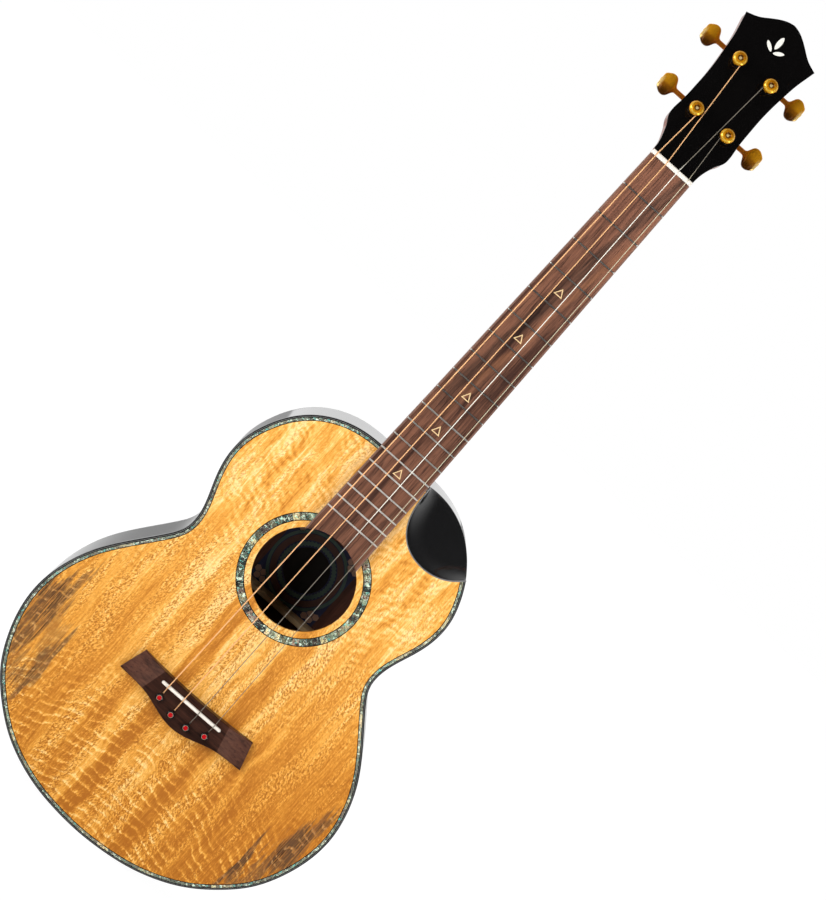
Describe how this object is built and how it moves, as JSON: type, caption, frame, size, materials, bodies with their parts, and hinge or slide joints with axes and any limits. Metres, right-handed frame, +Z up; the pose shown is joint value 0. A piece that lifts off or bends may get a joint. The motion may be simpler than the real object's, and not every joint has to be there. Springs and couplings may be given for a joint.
{
  "type": "four-string acoustic guitar",
  "caption": "Small-bodied steel-and-nylon acoustic instrument with a bevelled shoulder, geared tuners, pinned bridge and adjustable neck.",
  "frame": {"origin": "bottom centre of the instrument's box: on the centre line, level with the tail end of the body, midway through the overall depth", "axes": "+Z up the neck towards the headstock, -Y out of the soundboard towards the player's audience, +X towards the treble side"},
  "size_m": [0.2826, 0.0924, 0.7801],
  "materials": {
    "soundboard_wood": "golden figured hardwood under clear gloss lacquer",
    "black_gloss": "wood under polished black lacquer",
    "binding": "black plastic binding, polished",
    "block_wood": "unfinished reddish hardwood",
    "brace_wood": "unfinished pale softwood",
    "shell_inlay": "iridescent shell segments under gloss",
    "neck_wood": "reddish hardwood under satin lacquer",
    "fingerboard_wood": "oiled dark brown open-grained hardwood",
    "bridge_wood": "oiled very dark brown hardwood",
    "bone": "polished ivory-white bone substitute",
    "head_plate": "mirror-polished black face plate",
    "rod_steel": "plain machined steel",
    "fret_metal": "polished nickel silver",
    "pin_plastic": "polished black plastic",
    "string_plain": "smooth plain treble string",
    "string_wound": "bronze-wound bass string",
    "gold_plate": "polished gold plate"
  },
  "bodies": {
    "body": {"back_binding": "binding", "back_brace": "brace_wood", "back_plate": "black_gloss", "bass_side": "black_gloss", "bridge": "bridge_wood", "bridge_plate": "brace_wood", "fingerboard": "fingerboard_wood", "fret_01": "fret_metal", "fret_02": "fret_metal", "fret_03": "fret_metal", "fret_04": "fret_metal", "fret_05": "fret_metal", "fret_06": "fret_metal", "fret_07": "fret_metal", "fret_08": "fret_metal", "fret_09": "fret_metal", "fret_10": "fret_metal", "fret_11": "fret_metal", "fret_12": "fret_metal", "fret_13": "fret_metal", "fret_14": "fret_metal", "fret_15": "fret_metal", "fret_16": "fret_metal", "fret_17": "fret_metal", "fret_18": "fret_metal", "fret_19": "fret_metal", "headstock_plate": "head_plate", "neck": "neck_wood", "neck_block": "block_wood", "nut": "bone", "rosette": "shell_inlay", "saddle": "bone", "scoop_bevel": "black_gloss", "soundboard": "soundboard_wood", "string_1": "string_plain", "string_2": "string_plain", "string_3": "string_wound", "string_4": "string_wound", "tail_block": "block_wood", "top_binding": "binding", "treble_side": "black_gloss", "truss_rod": "rod_steel", "tuner_1_housing": "gold_plate", "tuner_2_housing": "gold_plate", "tuner_3_housing": "gold_plate", "tuner_4_housing": "gold_plate", "x_brace": "brace_wood"},
    "tuner_1_knob": {"tuner_1_knob": "gold_plate"},
    "tuner_1_post": {"tuner_1_post": "gold_plate"},
    "tuner_2_knob": {"tuner_2_knob": "gold_plate"},
    "tuner_2_post": {"tuner_2_post": "gold_plate"},
    "tuner_3_knob": {"tuner_3_knob": "gold_plate"},
    "tuner_3_post": {"tuner_3_post": "gold_plate"},
    "tuner_4_knob": {"tuner_4_knob": "gold_plate"},
    "tuner_4_post": {"tuner_4_post": "gold_plate"},
    "bridge_pin_1": {"bridge_pin_1": "pin_plastic"},
    "bridge_pin_2": {"bridge_pin_2": "pin_plastic"},
    "bridge_pin_3": {"bridge_pin_3": "pin_plastic"},
    "bridge_pin_4": {"bridge_pin_4": "pin_plastic"},
    "truss_rod_nut": {"truss_rod_nut": "rod_steel"}
  },
  "joints": [
    {"name": "tuner_1_knob_spin", "type": "hinge", "parent": "body", "child": "tuner_1_knob", "pos_m": [0.01475, -0.00668, 0.68852], "axis": [1, 0, 0], "continuous": true},
    {"name": "tuner_1_post_spin", "type": "hinge", "parent": "body", "child": "tuner_1_post", "pos_m": [0.01475, -0.02485, 0.6845], "axis": [0, 0.9744, -0.225], "continuous": true},
    {"name": "tuner_2_knob_spin", "type": "hinge", "parent": "body", "child": "tuner_2_knob", "pos_m": [0.01475, 0.00434, 0.73626], "axis": [1, 0, 0], "continuous": true},
    {"name": "tuner_2_post_spin", "type": "hinge", "parent": "body", "child": "tuner_2_post", "pos_m": [0.01475, -0.01382, 0.73225], "axis": [0, 0.9744, -0.225], "continuous": true},
    {"name": "tuner_3_knob_spin", "type": "hinge", "parent": "body", "child": "tuner_3_knob", "pos_m": [-0.01475, 0.00434, 0.73626], "axis": [1, 0, 0], "continuous": true},
    {"name": "tuner_3_post_spin", "type": "hinge", "parent": "body", "child": "tuner_3_post", "pos_m": [-0.01475, -0.01382, 0.73225], "axis": [0, 0.9744, -0.225], "continuous": true},
    {"name": "tuner_4_knob_spin", "type": "hinge", "parent": "body", "child": "tuner_4_knob", "pos_m": [-0.01475, -0.00668, 0.68852], "axis": [1, 0, 0], "continuous": true},
    {"name": "tuner_4_post_spin", "type": "hinge", "parent": "body", "child": "tuner_4_post", "pos_m": [-0.01475, -0.02485, 0.6845], "axis": [0, 0.9744, -0.225], "continuous": true},
    {"name": "bridge_pin_1_pull", "type": "slide", "parent": "body", "child": "bridge_pin_1", "axis": [0, -1, 0], "range_m": [0, 0.035]},
    {"name": "bridge_pin_2_pull", "type": "slide", "parent": "body", "child": "bridge_pin_2", "axis": [0, -1, 0], "range_m": [0, 0.035]},
    {"name": "bridge_pin_3_pull", "type": "slide", "parent": "body", "child": "bridge_pin_3", "axis": [0, -1, 0], "range_m": [0, 0.035]},
    {"name": "bridge_pin_4_pull", "type": "slide", "parent": "body", "child": "bridge_pin_4", "axis": [0, -1, 0], "range_m": [0, 0.035]},
    {"name": "truss_rod_adjust", "type": "hinge", "parent": "body", "child": "truss_rod_nut", "pos_m": [0, -0.0268, 0.325], "axis": [0, 0, 1], "range_deg": [-180, 180]}
  ],
  "couplings": [
    {"joint": "tuner_1_post_spin", "follows": "tuner_1_knob_spin", "ratio": 0.071429},
    {"joint": "tuner_2_post_spin", "follows": "tuner_2_knob_spin", "ratio": 0.071429},
    {"joint": "tuner_3_post_spin", "follows": "tuner_3_knob_spin", "ratio": 0.071429},
    {"joint": "tuner_4_post_spin", "follows": "tuner_4_knob_spin", "ratio": 0.071429}
  ]
}
